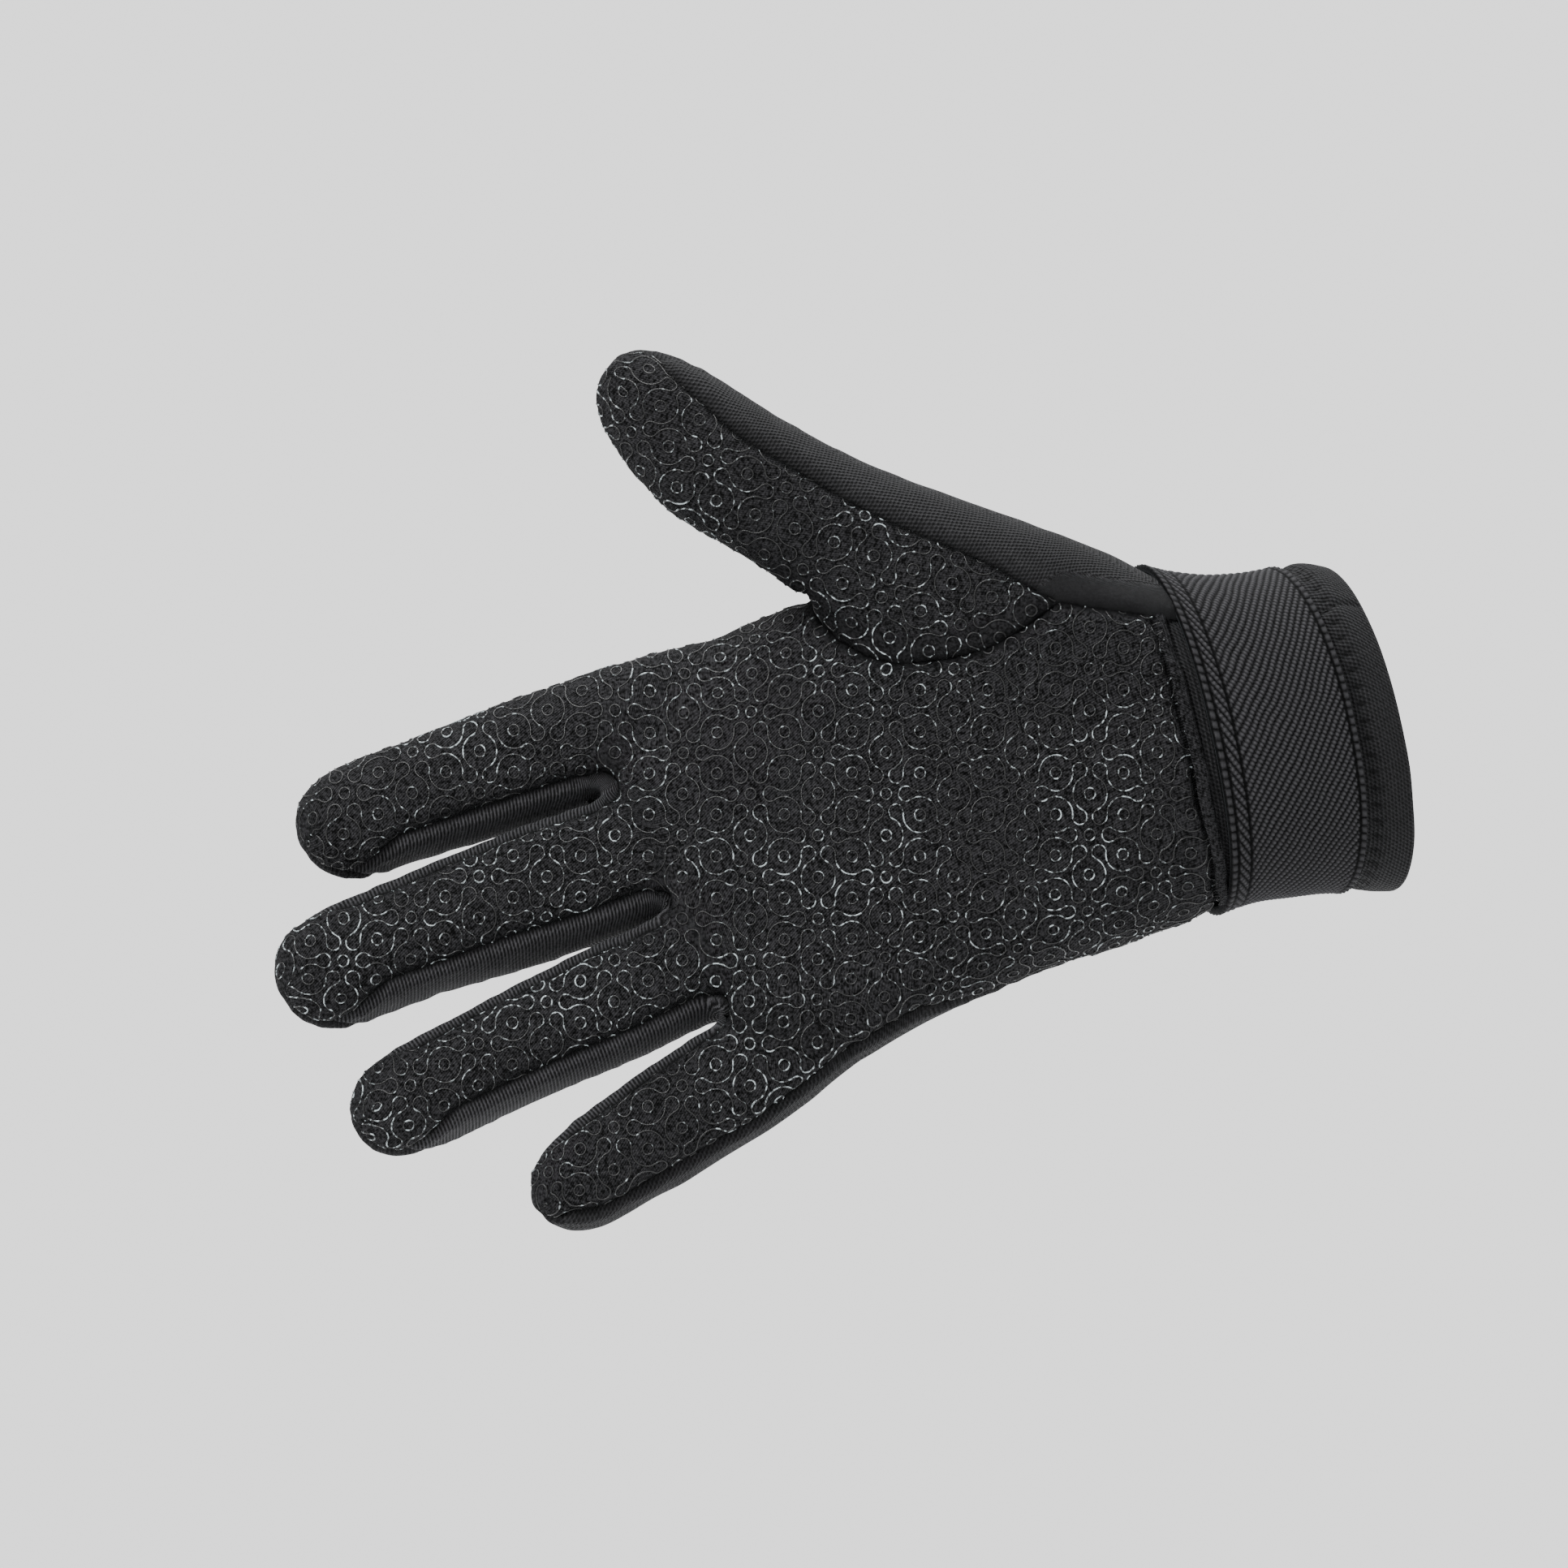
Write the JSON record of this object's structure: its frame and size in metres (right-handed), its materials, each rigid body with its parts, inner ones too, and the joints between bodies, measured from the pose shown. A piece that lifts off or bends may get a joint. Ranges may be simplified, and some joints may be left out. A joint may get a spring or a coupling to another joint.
{
  "type": "stretch-knit sport glove",
  "caption": "Right-hand stretch-knit glove in its worn form, with a raised grip print on the palm, side strips between the fingers and an elastic wrist band.",
  "frame": {"origin": "middle of the wrist opening", "axes": "+X out of the wrist opening along the forearm, +Z to the thumb side, -Y out of the palm"},
  "size_m": [0.2392, 0.0767, 0.1836],
  "materials": {
    "printed_knit": "fine black knit with a raised glossy silicone grip print",
    "knit_black": "fine ribbed black stretch knit",
    "woven_elastic": "black woven elastic with slanted twill ribs"
  },
  "bodies": {
    "root": {"palm_panel": "printed_knit", "thumb_front": "printed_knit", "back_panel": "knit_black", "cuff_front": "knit_black", "cuff_back": "knit_black", "index_middle_strip": "knit_black", "middle_ring_strip": "knit_black", "ring_little_strip": "knit_black", "wrist_strap": "woven_elastic"}
  },
  "joints": []
}
